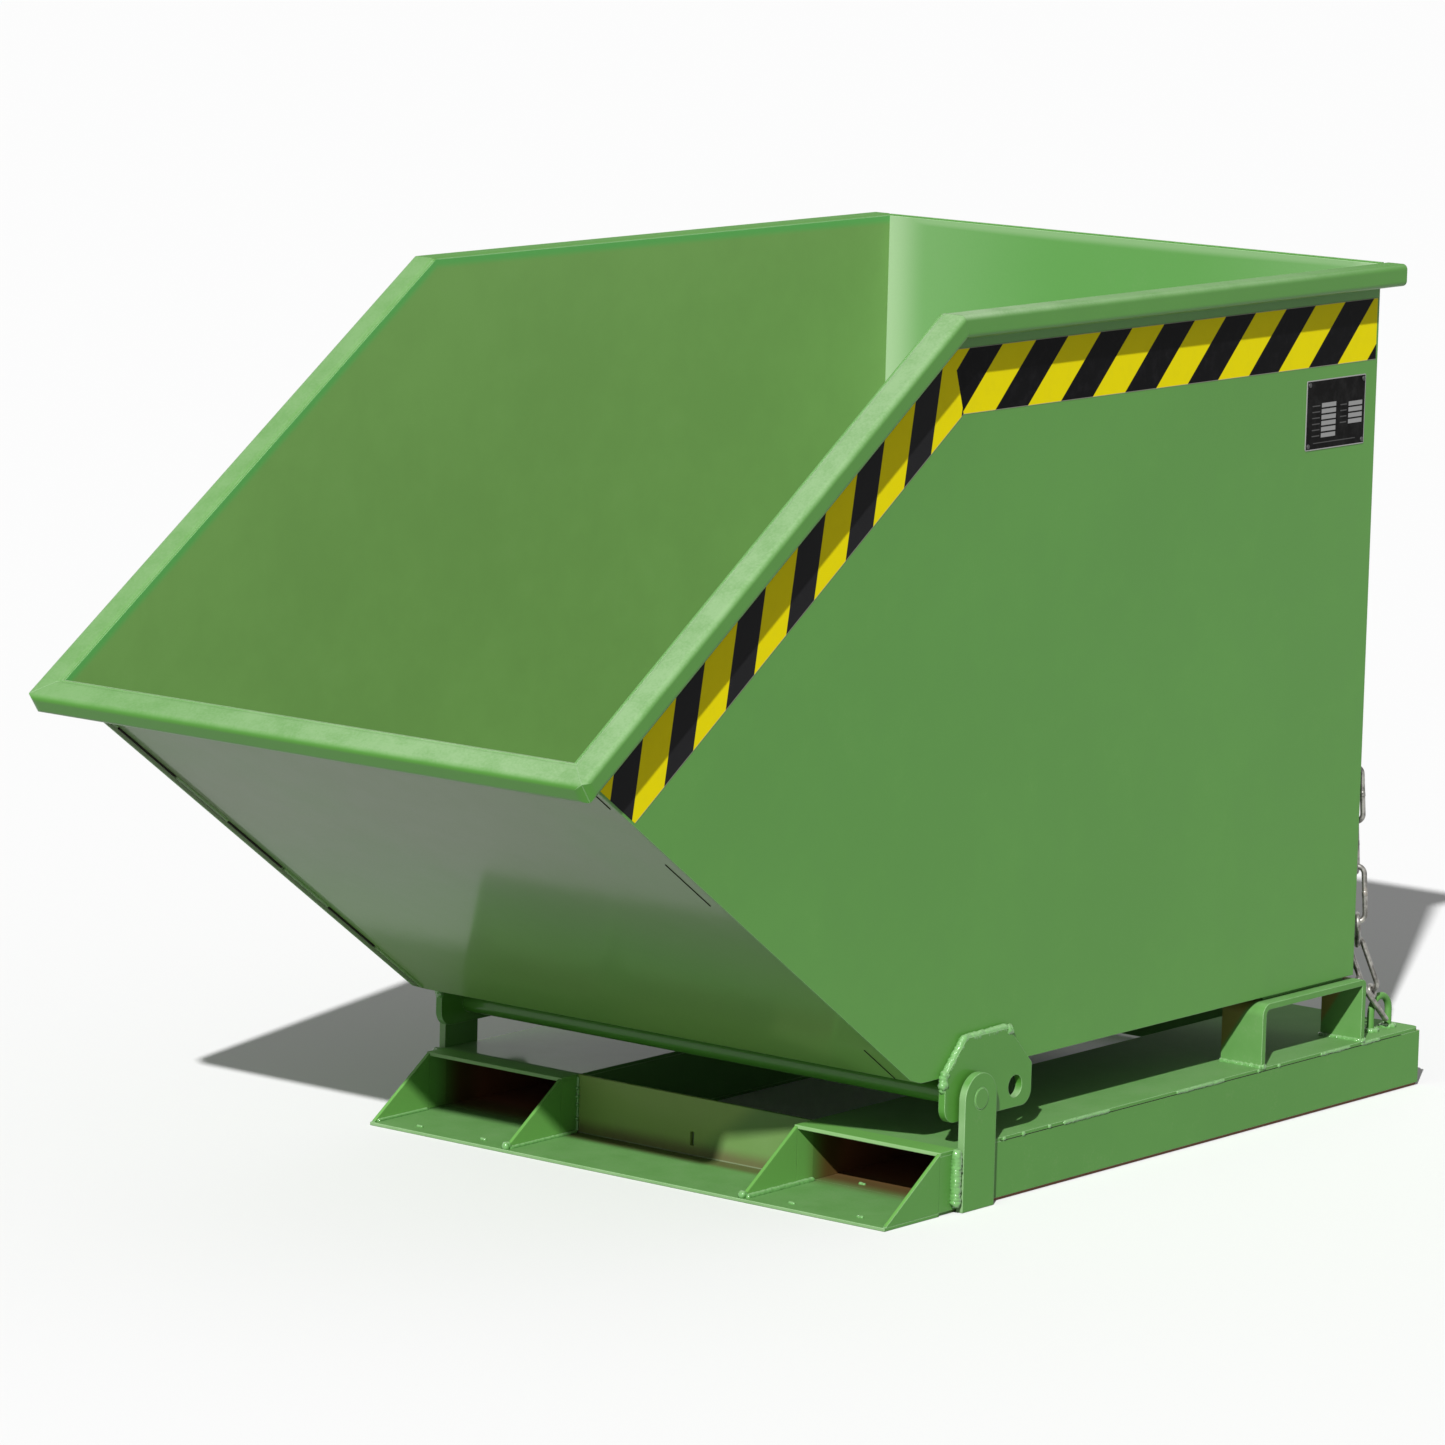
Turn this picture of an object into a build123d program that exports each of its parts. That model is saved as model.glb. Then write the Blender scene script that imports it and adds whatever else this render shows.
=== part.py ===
from build123d import *
from math import atan2, copysign, cos, radians, sin, sqrt
import os

# Tipping skip for a forklift: an open tub of welded sheet hinged on a base frame with two fork pockets.
# Millimetres. X is the skip's width, the chute tips towards -Y, Z is up, and the floor is at z = 0.
# The origin is on the floor, under the middle of the whole skip.

# Tub: reaches are measured along Y from the hinge axis
tub_width = 1000.0
sheet = 3.0
tub_floor_rise = 37.0
tub_rear_reach = 1059.0
tub_toe_reach = 131.0
toe_chamfer = 15.0
chute_inset = 8.0
panel_lip_setback = 2.0
panel_drop = 2.0

# Rim: hollow section round the outside of the sides and the chute, and a flat bar behind
rim_top_height = 1384.0
rim_width = 45.0
rim_height = 36.0
rim_wall = 3.0
rim_radius = 9.0
rim_corner_radius = 20.0
rim_end_plug = 6.0
rim_corner_plug = 30.0
knee_reach = 121.0
lip_reach = 991.0
lip_height = 778.0
rear_bar_thickness = 9.0
rear_bar_radius = 3.0

# Hinge
hinge_height = 173.0
shaft_diameter = 35.0
shaft_proud = 1.5
shaft_chamfer = 1.5
running_clearance = 0.08
weld_gap = 0.3

# Brackets on the tub's sides: reaches from the hinge axis, along Y and Z
bracket_thickness = 12.0
bracket_front = 70.0
bracket_rear_margin = 42.0
bracket_rise = 94.0
bracket_drop = 33.0
bracket_top_front = 17.0
bracket_top_rear = 90.0
bracket_shoulder_front = 40.0
bracket_shoulder_rear = 31.0
bracket_radius = 24.0
bracket_corner_radius = 6.0
second_hole_spacing = 110.0

# Posts and the spacer rings between posts and brackets
post_width = 80.0
post_thickness = 12.0
spacer_diameter = 62.0
spacer_thickness = 4.6
spacer_clearance = 0.4

# Base frame: the front's reaches run along Y from the hinge axis, and the rear's from the ring's middle
base_overhang = 65.0
pocket_front_reach = 84.0
tongue_reach = 220.0
web_reach = 43.0
pocket_width = 282.0
pocket_height = 99.0
base_plate = 6.0
floor_plate = 5.0
floor_edge_inset = 4.0
wall_corner_radius = 14.0
gusset_toe_gap = 3.0
gusset_top_gap = 2.0
rear_web_inset = 30.0
slot_width = 7.0
slot_height = 22.0
slot_centre_height = 32.0

# Saddles that carry the rear of the tub, and the strips under the tub that rest on them
saddle_overhang = 15.0
saddle_length = 298.0
saddle_width = 80.0
saddle_bar = 10.0
saddle_front_radius = 20.0
saddle_rear_radius = 10.0
rest_strip_setback = 34.0
rest_strip_width = 50.0
rest_strip_inset = 8.0
rest_strip_thickness = 7.0

# Ring on the base for the chain, some way behind the saddle
ring_rod = 12.0
ring_spacing = 52.0
ring_rise = 56.0
ring_inset = 38.0
ring_behind = 101.0

# Bow on the tub's rear wall that carries the chain
bow_rod = 8.0
bow_inner_width = 38.0
bow_reach = 18.0
bow_bend_radius = 8.0
bow_inset = 34.5

# Chain: links of one size, six hanging in line and two in the slack stretch above the toggle
link_wire = 9.0
link_inner_length = 83.0
link_outer_width = 35.0
link_clearance = 0.3
hanging_links = 6
upper_links = 2
chain_side_drift = 36.0
slack_drop_share = 1.3737
hanging_turns = (90.0, 0.0, 104.0, 26.0, 116.0, 38.0)
elbow_lean = 40.0
elbow_play = 1.3
elbow_rounds = 12

# Toggle on the chain's end, some way behind the saddle
toggle_rod = 10.0
toggle_length = 126.0
toggle_chamfer = 2.0
toggle_tilt = 42.5
toggle_roll = 25.0
toggle_behind = 58.0
toggle_rise = 58.7
toggle_ring_gap = 0.5
toggle_eye_wire = 7.0
toggle_eye_play = 1.2
toggle_eye_sink = 1.5

# Hazard tape on the sides, and the type plate
tape_width = 100.0
tape_thickness = 0.6
tape_level_drop = 57.0
tape_slope_drop = 64.0
tape_end_gap = 6.0
tape_lip_gap = 4.0
plate_length = 168.0
plate_height = 113.0
plate_thickness = 1.2
plate_rear_gap = 33.0
plate_tape_gap = 21.0
plate_corner_radius = 3.0
rivet_diameter = 8.0
rivet_head = 2.0
rivet_rounding = 1.5
rivet_margin = 7.0

# One overrun for all cuts
cut_over = 20.0

# Places worked out from the sizes above
tub_half = tub_width / 2
base_half = tub_half + bracket_thickness + spacer_thickness + spacer_clearance
saddle_rear_reach = tub_rear_reach + saddle_overhang
base_rear_reach = saddle_rear_reach + ring_behind + base_overhang
tub_floor_height = hinge_height + tub_floor_rise
saddle_top_height = tub_floor_height - rest_strip_thickness
plate_bottom_height = rim_top_height - tape_level_drop - tape_width - plate_tape_gap - plate_height
inner_half = tub_half - sheet
rim_half = tub_half + rim_width
slope = atan2(rim_top_height - lip_height, lip_reach - knee_reach)
hinge_y = (lip_reach - base_rear_reach) / 2
hinge_z = hinge_height
rear_wall_y = hinge_y + tub_rear_reach
saddle_rear_y = hinge_y + saddle_rear_reach
toe = (hinge_y - tub_toe_reach, tub_floor_height)
base_rear_y = hinge_y + base_rear_reach
pocket_front_y = hinge_y - pocket_front_reach
tongue_front_y = hinge_y - tongue_reach
web_y = hinge_y - web_reach
lip = (hinge_y - lip_reach, lip_height)
knee = (hinge_y - knee_reach, rim_top_height)

os.makedirs("parts", exist_ok=True)


def save(shape, node):
    export_step(shape, f"parts/{node}.step")


# The rim's sloping plane: s runs up from the lip, and n is the depth below the rim's top
def on_slope(s, n):
    return (lip[0] + s * cos(slope) + n * sin(slope), lip[1] + s * sin(slope) - n * cos(slope))


# Where the line through a and b crosses the line through c and d
def crossing(a, b, c, d):
    abx, aby = b[0] - a[0], b[1] - a[1]
    cdx, cdy = d[0] - c[0], d[1] - c[1]
    t = ((c[0] - a[0]) * cdy - (c[1] - a[1]) * cdx) / (abx * cdy - aby * cdx)
    return (a[0] + t * abx, a[1] + t * aby)


# The line through a and b, moved sideways to the left of its direction
def shifted(a, b, distance):
    length = sqrt((b[0] - a[0]) ** 2 + (b[1] - a[1]) ** 2)
    dx, dy = -(b[1] - a[1]) / length * distance, (b[0] - a[0]) / length * distance
    return (a[0] + dx, a[1] + dy), (b[0] + dx, b[1] + dy)


# A box between two values on each axis
def slab(x, y, z):
    size = (x[1] - x[0], y[1] - y[0], z[1] - z[0])
    middle = ((x[0] + x[1]) / 2, (y[0] + y[1]) / 2, (z[0] + z[1]) / 2)
    return Pos(*middle) * Box(*size)


# A flat plate across X, cut to an outline of (y, z) points
def side_plate(points, x_low, x_high, radii=None):
    if radii is None:
        outline = Polyline(*points, close=True)
    else:
        outline = FilletPolyline(*points, radius=radii, close=True)
    return extrude(Plane.YZ.offset(x_low) * make_face(outline), x_high - x_low)


def side_hole(y, z, diameter, x_low, x_high):
    middle = Plane(origin=((x_low + x_high) / 2, y, z), z_dir=(1, 0, 0))
    return middle * Cylinder(diameter / 2, abs(x_high - x_low) + cut_over)


def mirrored(shape):
    return mirror(shape, about=Plane.YZ)


# Each piece of a pair is built on the +X side and mirrored for the other side
def save_pair(shape, name):
    save(shape, f"{name}_right")
    save(mirrored(shape), f"{name}_left")


# The tub's sheets
panel_lip = on_slope(rim_width + panel_lip_setback, rim_height)
rail_low = on_slope(rim_width, rim_height)
rail_high = on_slope(rim_width, panel_drop)
panel_knee = crossing(rail_high, on_slope(rim_width + knee_reach, panel_drop),
                      (knee[0], rim_top_height - panel_drop), (rear_wall_y, rim_top_height - panel_drop))
toe_along = atan2(panel_lip[1] - toe[1], toe[0] - panel_lip[0])


def side_panel():
    cut_on_floor = (toe[0] + toe_chamfer, toe[1])
    cut_on_chute = (toe[0] - toe_chamfer * cos(toe_along), toe[1] + toe_chamfer * sin(toe_along))
    outline = [cut_on_floor, (rear_wall_y, toe[1]), (rear_wall_y, rim_top_height - panel_drop),
               panel_knee, rail_high, rail_low, panel_lip, cut_on_chute]
    return side_plate(outline, inner_half, tub_half)


chute_outer = shifted(toe, panel_lip, -chute_inset)
chute_inner = shifted(toe, panel_lip, -chute_inset - sheet)
fold_low = crossing(*chute_outer, toe, (rear_wall_y, toe[1]))
fold_high = crossing(*chute_inner, (toe[0], toe[1] + sheet), (rear_wall_y, toe[1] + sheet))


def chute_panel():
    rail_outer = crossing(*chute_outer, rail_low, rail_high)
    top_inner = crossing(*chute_inner, rail_high, panel_knee)
    outline = [fold_low, fold_high, top_inner, rail_high, rail_outer]
    return side_plate(outline, -inner_half, inner_half)


def floor_panel():
    outline = [fold_low, (rear_wall_y, toe[1]), (rear_wall_y, toe[1] + sheet), fold_high]
    return side_plate(outline, -inner_half, inner_half)


def rear_panel():
    return slab((-inner_half, inner_half), (rear_wall_y - sheet, rear_wall_y),
                (toe[1] + sheet, rim_top_height - panel_drop))


# The rim's hollow section runs along a plane's normal, and its bore stops short of each end
def rim_rail(start, x_dir, z_dir, length, plug_low, plug_high):
    run = Plane(origin=start, x_dir=x_dir, z_dir=z_dir)
    outer = extrude(run * RectangleRounded(rim_width, rim_height, rim_radius), length)
    bore = RectangleRounded(rim_width - 2 * rim_wall, rim_height - 2 * rim_wall, rim_radius - rim_wall)
    return outer - extrude(run.offset(plug_low) * bore, length - plug_low - plug_high)


along = (0, cos(slope), sin(slope))
rail_centre_x = tub_half + rim_width / 2
knee_mitre = Plane(origin=(0, *knee), z_dir=(0, cos(slope / 2), sin(slope / 2)))
corner_mitre = Plane(origin=(rim_half, *lip), z_dir=(1, *along[1:]))
slope_length = sqrt((knee[0] - lip[0]) ** 2 + (knee[1] - lip[1]) ** 2)
rim_rear_y = rear_wall_y + rear_bar_thickness


# A tall block in the sloping plane whose corners round the rim's two front corners
def corner_block():
    tall = rim_height + 2 * cut_over
    flat = Plane(origin=(0, *on_slope(0, rim_height + cut_over)), x_dir=(1, 0, 0),
                 z_dir=(0, -sin(slope), cos(slope)))
    reach = slope_length + rim_width
    face = Pos(0, reach / 2) * RectangleRounded(2 * rim_half, reach, rim_corner_radius)
    return extrude(flat * face, tall)


def rim_slope_rail():
    start = (rail_centre_x, *on_slope(0, rim_height / 2))
    rail = rim_rail(start, (1, 0, 0), along, slope_length + rim_width, rim_corner_plug + rim_width, 0)
    rail = split(rail, bisect_by=corner_mitre, keep=Keep.TOP)
    rail = split(rail, bisect_by=knee_mitre, keep=Keep.BOTTOM)
    return rail & corner_block()


def rim_front_rail():
    start = (-rim_half, *on_slope(rim_width / 2, rim_height / 2))
    rail = rim_rail(start, along, (1, 0, 0), 2 * rim_half, rim_corner_plug + rim_width,
                    rim_corner_plug + rim_width)
    rail = split(rail, bisect_by=corner_mitre, keep=Keep.BOTTOM)
    left_mitre = Plane(origin=(-rim_half, *lip), z_dir=(-1, *along[1:]))
    rail = split(rail, bisect_by=left_mitre, keep=Keep.BOTTOM)
    return rail & corner_block()


def rim_level_rail():
    start = (rail_centre_x, knee[0] - rim_width, rim_top_height - rim_height / 2)
    length = rim_rear_y - knee[0] + rim_width
    rail = rim_rail(start, (1, 0, 0), (0, 1, 0), length, 0, rim_end_plug)
    return split(rail, bisect_by=knee_mitre, keep=Keep.TOP)


def rim_rear_bar():
    bar = slab((-tub_half, tub_half), (rear_wall_y, rim_rear_y), (rim_top_height - rim_height, rim_top_height))
    return fillet(bar.edges().filter_by(Axis.X).group_by(Axis.Y)[-1], rear_bar_radius)


# Hinge brackets, shaft and spacers
def bracket():
    low, high = hinge_z - bracket_drop, hinge_z + bracket_rise
    front, rear = hinge_y - bracket_front, hinge_y + second_hole_spacing + bracket_rear_margin
    outline = [(front, low), (rear, low), (rear, hinge_z + bracket_shoulder_rear),
               (hinge_y + bracket_top_rear, high), (hinge_y - bracket_top_front, high),
               (front, hinge_z + bracket_shoulder_front)]
    x_low, x_high = tub_half, tub_half + bracket_thickness
    radii = [bracket_radius] * 2 + [bracket_corner_radius] * 4
    plate = side_plate(outline, x_low, x_high, radii)
    plate -= side_hole(hinge_y, hinge_z, shaft_diameter + 2 * weld_gap, x_low, x_high)
    return plate - side_hole(hinge_y + second_hole_spacing, hinge_z, shaft_diameter, x_low, x_high)


def hinge_shaft():
    length = 2 * (base_half + post_thickness + shaft_proud)
    shaft = Plane(origin=(0, hinge_y, hinge_z), z_dir=(1, 0, 0)) * Cylinder(shaft_diameter / 2, length)
    return chamfer(shaft.edges().filter_by(GeomType.CIRCLE), shaft_chamfer)


def hinge_spacer():
    x_low, x_high = tub_half + bracket_thickness, tub_half + bracket_thickness + spacer_thickness
    ring = Plane(origin=(x_low, hinge_y, hinge_z), z_dir=(1, 0, 0))
    disc = extrude(ring * Circle(spacer_diameter / 2), x_high - x_low)
    return disc - side_hole(hinge_y, hinge_z, shaft_diameter + 2 * weld_gap, x_low, x_high)


def post():
    half = post_width / 2
    x_low, x_high = base_half, base_half + post_thickness
    with BuildSketch(Plane.YZ.offset(x_low)) as face:
        with Locations((hinge_y, hinge_z / 2)):
            Rectangle(post_width, hinge_z)
        with Locations((hinge_y, hinge_z)):
            Circle(half)
    upright = extrude(face.sketch, post_thickness)
    return upright - side_hole(hinge_y, hinge_z, shaft_diameter + 2 * running_clearance, x_low, x_high)


# Base frame
pocket_inner_x = base_half - pocket_width
wall_top = pocket_height - base_plate


def tongue_plate():
    plate = slab((-base_half, base_half), (tongue_front_y, pocket_front_y), (0, floor_plate))
    inset = base_half - floor_edge_inset
    return plate + slab((-inset, inset), (pocket_front_y, web_y + base_plate), (0, floor_plate))


def pocket_floor():
    return slab((pocket_inner_x, base_half - floor_edge_inset), (web_y + base_plate, base_rear_y), (0, floor_plate))


def outer_wall():
    x = (base_half - base_plate, base_half)
    wall = slab(x, (pocket_front_y, base_rear_y), (floor_plate, wall_top))
    return wall


def inner_wall():
    x = (pocket_inner_x, pocket_inner_x + base_plate)
    return slab(x, (pocket_front_y, base_rear_y), (floor_plate, wall_top))


def pocket_top():
    top = slab((pocket_inner_x, base_half), (pocket_front_y, base_rear_y), (wall_top, pocket_height))
    corner = top.edges().filter_by(Axis.Z).group_by(Axis.Y)[-1].sort_by(Axis.X)[-1]
    return fillet(corner, wall_corner_radius)


def gusset(x_low):
    outline = [(pocket_front_y, floor_plate), (pocket_front_y, pocket_height - gusset_top_gap),
               (tongue_front_y + gusset_toe_gap, floor_plate)]
    return side_plate(outline, x_low, x_low + base_plate)


def front_web():
    web = slab((-pocket_inner_x, pocket_inner_x), (web_y, web_y + base_plate), (floor_plate, pocket_height))
    slot = slab((-slot_width / 2, slot_width / 2), (web_y - cut_over, web_y + base_plate + cut_over),
                (slot_centre_height - slot_height / 2, slot_centre_height + slot_height / 2))
    return web - slot


def rear_web():
    rear = base_rear_y - rear_web_inset
    return slab((-pocket_inner_x, pocket_inner_x), (rear - base_plate, rear), (floor_plate, pocket_height))


# A bent flat bar standing on the pocket: front leg, top and rear leg in one
def saddle():
    front, rear = saddle_rear_y - saddle_length, saddle_rear_y
    x_low, x_high = base_half - saddle_width, base_half
    bar, foot, top = saddle_bar, pocket_height, saddle_top_height
    over = foot - cut_over
    outer = side_plate([(front, over), (rear, over), (rear, top), (front, top)], x_low, x_high,
                       [0, 0, saddle_rear_radius, saddle_front_radius])
    window = side_plate([(front + bar, over), (rear - bar, over), (rear - bar, top - bar), (front + bar, top - bar)],
                        x_low, x_high, [0, 0, max(saddle_rear_radius - bar, 0), max(saddle_front_radius - bar, 0)])
    below = slab((x_low - cut_over, x_high + cut_over), (front - cut_over, rear + cut_over), (over - cut_over, foot))
    return outer - window - below


# A strip welded under the tub's floor, set back from its side, that lies on the saddle
def rest_strip():
    front, rear = saddle_rear_y - saddle_length + rest_strip_setback, saddle_rear_y - rest_strip_setback
    x_high = tub_half - rest_strip_inset
    return slab((x_high - rest_strip_width, x_high), (front, rear), (saddle_top_height, tub_floor_height))


ring_x = base_half - ring_inset


# A round rod bent to a hoop: two legs and a half circle, standing on its feet
def ring_eye():
    half = ring_spacing / 2
    x, y, foot = ring_x, saddle_rear_y + ring_behind, pocket_height
    shoulder = foot + ring_rise - half
    path = Line((x, y - half, foot), (x, y - half, shoulder))
    path += ThreePointArc((x, y - half, shoulder), (x, y, shoulder + half),
                          (x, y + half, shoulder))
    path += Line((x, y + half, shoulder), (x, y + half, foot))
    start = Plane(origin=(x, y - half, foot), z_dir=(0, 0, 1))
    return sweep(start * Circle(ring_rod / 2), path=path)


# The toggle hangs beside the ring, and the chain's upper end is worked out from it
toggle_x = ring_x + (ring_rod + toggle_rod) / 2 + toggle_ring_gap
toggle_centre = Vector(toggle_x, saddle_rear_y + toggle_behind, pocket_height + toggle_rise)
toggle_along = Vector(0, cos(radians(toggle_tilt)), -sin(radians(toggle_tilt)))
toggle_square = Vector(0, sin(radians(toggle_tilt)), cos(radians(toggle_tilt)))
toggle_up = toggle_square * cos(radians(toggle_roll)) - Vector(1, 0, 0) * sin(radians(toggle_roll))
toggle_eye_radius = (toggle_eye_wire + link_wire) / 2 + link_clearance + toggle_eye_play
toggle_eye = toggle_centre + toggle_up * (toggle_rod / 2 + toggle_eye_radius + toggle_eye_wire / 2 - toggle_eye_sink)
chain_end = toggle_eye + toggle_up * toggle_eye_play
link_reach = link_inner_length + link_wire
hanging_length = hanging_links * (link_inner_length - link_clearance)
hanging_drop = sqrt(hanging_length ** 2 - chain_side_drift ** 2)
bow_x = toggle_x - bow_inset
bow_y = rear_wall_y + bow_reach
bow_z = chain_end.Z + slack_drop_share * link_reach + hanging_drop + (link_wire - bow_rod) / 2 - link_clearance


# The bow on the rear wall: two legs out of the wall and a cross rod, lying level
def chain_bow():
    half = (bow_inner_width + bow_rod) / 2
    corners = [(bow_x - half, rear_wall_y, bow_z), (bow_x - half, bow_y, bow_z),
               (bow_x + half, bow_y, bow_z), (bow_x + half, rear_wall_y, bow_z)]
    path = FilletPolyline(*corners, radius=bow_bend_radius)
    start = Plane(origin=corners[0], z_dir=(0, 1, 0))
    return sweep(start * Circle(bow_rod / 2), path=path)


# A chain link centred at the origin, long along Z and wide along X
def plain_link():
    bend = (link_outer_width - link_wire) / 2
    half_run = (link_inner_length + link_wire) / 2 - bend
    path = Line((bend, 0, -half_run), (bend, 0, half_run))
    path += ThreePointArc((bend, 0, half_run), (0, 0, half_run + bend), (-bend, 0, half_run))
    path += Line((-bend, 0, half_run), (-bend, 0, -half_run))
    path += ThreePointArc((-bend, 0, -half_run), (0, 0, -half_run - bend), (bend, 0, -half_run))
    return sweep(Plane(origin=(bend, 0, 0), z_dir=(0, 0, 1)) * Circle(link_wire / 2), path=path)


# A link between the middles of its two bows, as wide as its turn from +X says
def placed_link(top, bottom, wide):
    return Plane(origin=(top + bottom) / 2, x_dir=wide, z_dir=(top - bottom).normalized()) * plain_link()


def width_of(run, turn):
    level = Vector(cos(radians(turn)), sin(radians(turn)), 0)
    return (level - run * level.dot(run)).normalized()


# From the middle of one link's lower bow up to the middle of the next link's upper bow
def bow_to_bow(wide_above, wide_below, play=link_clearance):
    square = wide_above.cross(wide_below).normalized()
    return square * copysign(link_wire + play, square.Z)


# The hanging stretch drifts outwards on its way down from the bow
def hanging_stretch():
    run = Vector(chain_side_drift, 0, -hanging_drop).normalized()
    top = Vector(bow_x, bow_y, bow_z + bow_rod / 2 + link_clearance + link_wire / 2)
    links = []
    for turn in hanging_turns:
        wide = width_of(run, turn)
        if links:
            top = links[-1][1] + bow_to_bow(links[-1][2], wide)
        links.append((top, top + run * link_reach, wide))
    return links


# Two more links fold inwards to the toggle's eye, settled by a few rounds of the same sum
def slack_stretch(above, end):
    seats = [Vector(0, 0, link_wire), Vector(0, 0, link_wire)]
    for _ in range(elbow_rounds):
        start, finish = above[1] + seats[0], end - seats[1]
        run = (finish - start).normalized()
        inward = (run * run.X - Vector(1, 0, 0)).normalized()
        aside = inward * cos(radians(elbow_lean)) + run.cross(inward) * sin(radians(elbow_lean))
        corner = (start + finish) / 2 + aside * sqrt(link_reach ** 2 - ((finish - start).length / 2) ** 2)
        wides = [(corner - start).cross(above[2]).normalized()]
        wides.append((finish - corner).cross(wides[0]).normalized())
        seats = [bow_to_bow(above[2], wides[0]), bow_to_bow(*wides, elbow_play)]
    return [(start, corner, wides[0]), (corner + seats[1], end, wides[1])]


# A round bar with a small eye on its middle, turned to let the last link's wire through
def toggle(wire_run):
    bar = Plane(origin=toggle_centre, z_dir=toggle_along) * Cylinder(toggle_rod / 2, toggle_length)
    bar = chamfer(bar.edges().filter_by(GeomType.CIRCLE), toggle_chamfer)
    through = (wire_run - toggle_up * wire_run.dot(toggle_up)).normalized()
    eye = Plane(origin=toggle_eye, z_dir=through) * Torus(toggle_eye_radius, toggle_eye_wire / 2)
    return bar + eye


def save_chain():
    links = hanging_stretch()
    links += slack_stretch(links[-1], chain_end)
    for k, link in enumerate(links):
        save(placed_link(*link), f"chain_link_{k + 1}")
    save(toggle(links[-1][2]), "chain_toggle")
    print("chain swing axis", bow_x, bow_y, bow_z)
    print("chain fold axis", links[upper_links - 1][1])


# Hazard tape: one strip along the level rim and one along the sloping rim, meeting under the knee
def tape_lines():
    level_high = rim_top_height - tape_level_drop
    slope_high = (on_slope(0, tape_slope_drop), on_slope(slope_length, tape_slope_drop))
    slope_low = (on_slope(0, tape_slope_drop + tape_width), on_slope(slope_length, tape_slope_drop + tape_width))
    return level_high, slope_high, slope_low


def tape_level():
    high, slope_high, slope_low = tape_lines()
    low = high - tape_width
    rear = rear_wall_y - tape_end_gap
    outline = [crossing(*slope_low, (toe[0], low), (rear, low)), (rear, low), (rear, high),
               crossing(*slope_high, (toe[0], high), (rear, high))]
    return side_plate(outline, tub_half, tub_half + tape_thickness)


def tape_slope():
    high, slope_high, slope_low = tape_lines()
    low = high - tape_width
    edge = shifted(toe, panel_lip, -tape_lip_gap)
    outline = [crossing(*edge, *slope_low), crossing(*slope_low, (toe[0], low), (rear_wall_y, low)),
               crossing(*slope_high, (toe[0], high), (rear_wall_y, high)), crossing(*edge, *slope_high)]
    return side_plate(outline, tub_half, tub_half + tape_thickness)


def type_plate():
    rear = rear_wall_y - plate_rear_gap
    y, z = rear - plate_length / 2, plate_bottom_height + plate_height / 2
    face = Plane(origin=(tub_half, y, z), x_dir=(0, 1, 0), z_dir=(1, 0, 0))
    return extrude(face * RectangleRounded(plate_length, plate_height, plate_corner_radius), plate_thickness)


def plate_rivets():
    rear = rear_wall_y - plate_rear_gap - rivet_margin
    front = rear - plate_length + 2 * rivet_margin
    low = plate_bottom_height + rivet_margin
    high = plate_bottom_height + plate_height - rivet_margin
    heads = []
    for y in (front, rear):
        for z in (low, high):
            seat = Plane(origin=(tub_half + plate_thickness, y, z), z_dir=(1, 0, 0))
            head = extrude(seat * Circle(rivet_diameter / 2), rivet_head)
            heads.append(fillet(head.edges().sort_by(Axis.X)[-1], rivet_rounding))
    return Compound(children=heads)


save_pair(side_panel(), "side_panel")
save(chute_panel(), "chute_panel")
save(floor_panel(), "floor_panel")
save(rear_panel(), "rear_panel")
save_pair(rim_slope_rail(), "rim_slope_rail")
save_pair(rim_level_rail(), "rim_level_rail")
save(rim_front_rail(), "rim_front_rail")
save(rim_rear_bar(), "rim_rear_bar")
save_pair(bracket(), "hinge_bracket")
save(hinge_shaft(), "hinge_shaft")
save_pair(hinge_spacer(), "hinge_spacer")
save_pair(rest_strip(), "rest_strip")
save_pair(tape_level(), "hazard_tape_level")
save_pair(tape_slope(), "hazard_tape_slope")
save(type_plate(), "type_plate")
save(plate_rivets(), "type_plate_rivets")
save(chain_bow(), "chain_bow")
save_chain()

save(tongue_plate(), "tongue_plate")
save_pair(pocket_floor(), "pocket_floor")
save_pair(outer_wall(), "pocket_outer_wall")
save_pair(inner_wall(), "pocket_inner_wall")
save_pair(pocket_top(), "pocket_top")
save_pair(gusset(base_half - base_plate), "outer_gusset")
save_pair(gusset(pocket_inner_x), "inner_gusset")
save(front_web(), "front_web")
save(rear_web(), "rear_web")
save_pair(post(), "hinge_post")
save_pair(saddle(), "rear_saddle")
save(ring_eye(), "ring_eye")
print("hinge axis", hinge_y, hinge_z)
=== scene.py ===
# A forklift's tipping skip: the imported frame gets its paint, welds, hazard tape, plate and chain finish.
# Metres, Z up, and the chute tips towards -Y.
from math import cos, radians, sin

import bpy
from mathutils import Matrix, Vector


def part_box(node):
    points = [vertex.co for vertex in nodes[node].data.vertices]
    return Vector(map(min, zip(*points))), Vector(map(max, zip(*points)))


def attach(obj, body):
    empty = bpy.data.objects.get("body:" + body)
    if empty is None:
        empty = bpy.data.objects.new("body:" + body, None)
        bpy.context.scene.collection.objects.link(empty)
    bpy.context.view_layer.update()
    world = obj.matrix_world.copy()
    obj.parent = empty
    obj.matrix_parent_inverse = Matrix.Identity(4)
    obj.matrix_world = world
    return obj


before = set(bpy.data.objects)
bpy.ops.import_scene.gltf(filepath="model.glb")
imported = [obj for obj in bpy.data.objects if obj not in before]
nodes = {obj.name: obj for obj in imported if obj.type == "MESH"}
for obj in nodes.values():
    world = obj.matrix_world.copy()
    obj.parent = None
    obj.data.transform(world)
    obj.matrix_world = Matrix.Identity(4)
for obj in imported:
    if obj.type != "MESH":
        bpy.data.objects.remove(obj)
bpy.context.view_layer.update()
mm = 0.001
sides = (1, -1)


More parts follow.
